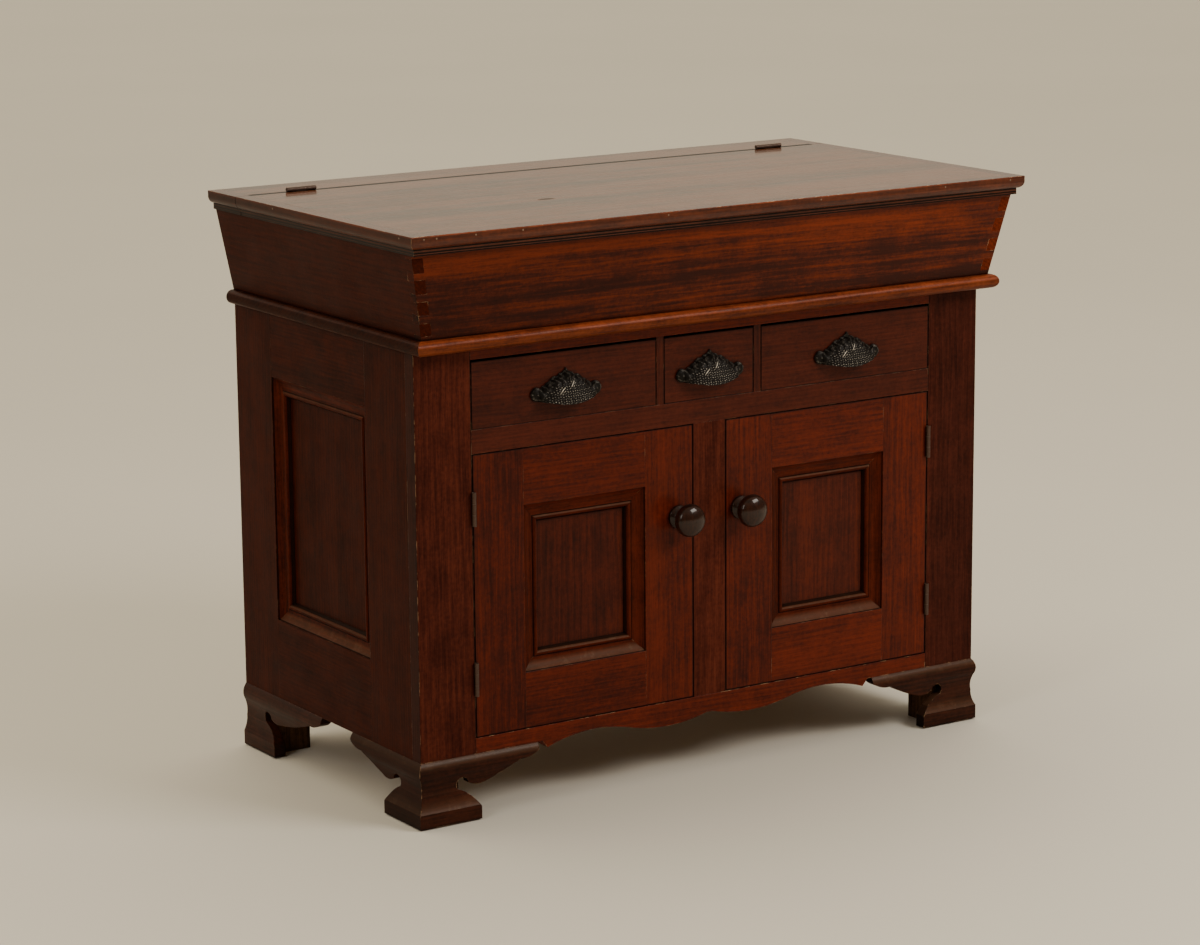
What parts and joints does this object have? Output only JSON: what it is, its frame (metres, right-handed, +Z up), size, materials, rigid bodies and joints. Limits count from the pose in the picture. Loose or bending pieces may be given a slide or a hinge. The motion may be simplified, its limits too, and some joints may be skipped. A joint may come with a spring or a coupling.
{
  "type": "dry sink cabinet",
  "caption": "Free-standing cupboard with a splayed well under a hinged lid, a row of drawers over panelled doors, and ogee bracket feet.",
  "frame": {"origin": "on the floor, under the middle of the closed lid", "axes": "+Z up, front towards -Y, +X to the right of someone facing the front"},
  "size_m": [1.118, 0.622, 0.9039],
  "materials": {
    "case_wood": "satin, aged red-brown varnish",
    "panel_wood": "satin, aged red-brown varnish",
    "moulding_wood": "satin, aged red-brown varnish",
    "well_wood": "satin, lighter orange-brown varnish with dark streaks",
    "lid_wood": "polished, worn",
    "foot_wood": "satin, darkened",
    "inner_wood": "bare, aged, unfinished",
    "knob_wood": "glossy, nearly black varnish",
    "hinge_iron": "dark, aged",
    "pull_metal": "dark bronzed casting with worn highlights"
  },
  "bodies": {
    "root": {"front_stiles": "case_wood", "top_rail": "case_wood", "drawer_rail": "case_wood", "apron_rail": "case_wood", "centre_stile": "case_wood", "drawer_dividers": "case_wood", "left_side_frame": "case_wood", "right_side_frame": "case_wood", "well_floor": "case_wood", "left_side_panel": "panel_wood", "right_side_panel": "panel_wood", "left_side_moulding": "moulding_wood", "right_side_moulding": "moulding_wood", "well_front": "well_wood", "well_sides": "well_wood", "well_back": "well_wood", "hinge_rail": "lid_wood", "hinge_rail_ends": "lid_wood", "front_left_foot": "foot_wood", "front_right_foot": "foot_wood", "rear_left_foot": "foot_wood", "rear_right_foot": "foot_wood", "case_floor": "inner_wood", "cupboard_shelf": "inner_wood", "shelf_cleats": "inner_wood", "back_boards": "inner_wood", "drawer_runners": "inner_wood", "foot_blocks": "inner_wood", "door_hinge_case_leaves": "hinge_iron", "lid_hinge_rail_leaves": "hinge_iron"},
    "lid": {"lid_board": "lid_wood", "lid_moulding": "lid_wood", "lid_hinge_leaves": "hinge_iron"},
    "left_door": {"left_door_stiles": "case_wood", "left_door_rails": "case_wood", "left_door_panel": "panel_wood", "left_door_moulding": "moulding_wood", "left_door_hinge_leaves": "hinge_iron"},
    "right_door": {"right_door_stiles": "case_wood", "right_door_rails": "case_wood", "right_door_panel": "panel_wood", "right_door_moulding": "moulding_wood", "right_door_hinge_leaves": "hinge_iron"},
    "left_knob": {"left_knob": "knob_wood", "left_turn_button": "knob_wood"},
    "right_knob": {"right_knob": "knob_wood", "right_turn_button": "knob_wood"},
    "left_drawer": {"left_drawer_front": "case_wood", "left_drawer_box": "inner_wood", "left_drawer_bottom": "inner_wood", "left_drawer_pull": "pull_metal"},
    "middle_drawer": {"middle_drawer_front": "case_wood", "middle_drawer_box": "inner_wood", "middle_drawer_bottom": "inner_wood", "middle_drawer_pull": "pull_metal"},
    "right_drawer": {"right_drawer_front": "case_wood", "right_drawer_box": "inner_wood", "right_drawer_bottom": "inner_wood", "right_drawer_pull": "pull_metal"}
  },
  "joints": [
    {"name": "lid_hinge", "type": "hinge", "parent": "root", "child": "lid", "pos_m": [0, 0.21925, 0.9006], "axis": [-1, 0, 0], "range_deg": [0, 100]},
    {"name": "left_door_hinge", "type": "hinge", "parent": "root", "child": "left_door", "pos_m": [-0.42325, -0.2461, 0.341], "axis": [0, 0, -1], "range_deg": [0, 165]},
    {"name": "right_door_hinge", "type": "hinge", "parent": "root", "child": "right_door", "pos_m": [0.42325, -0.2461, 0.341], "axis": [0, 0, 1], "range_deg": [0, 165]},
    {"name": "left_knob_turn", "type": "hinge", "parent": "left_door", "child": "left_knob", "pos_m": [-0.058, -0.2425, 0.4155], "axis": [0, 1, 0], "range_deg": [0, 90]},
    {"name": "right_knob_turn", "type": "hinge", "parent": "right_door", "child": "right_knob", "pos_m": [0.058, -0.2425, 0.4155], "axis": [0, -1, 0], "range_deg": [0, 90]},
    {"name": "left_drawer_slide", "type": "slide", "parent": "root", "child": "left_drawer", "axis": [0, -1, 0], "range_m": [0, 0.33]},
    {"name": "middle_drawer_slide", "type": "slide", "parent": "root", "child": "middle_drawer", "axis": [0, -1, 0], "range_m": [0, 0.33]},
    {"name": "right_drawer_slide", "type": "slide", "parent": "root", "child": "right_drawer", "axis": [0, -1, 0], "range_m": [0, 0.33]}
  ]
}
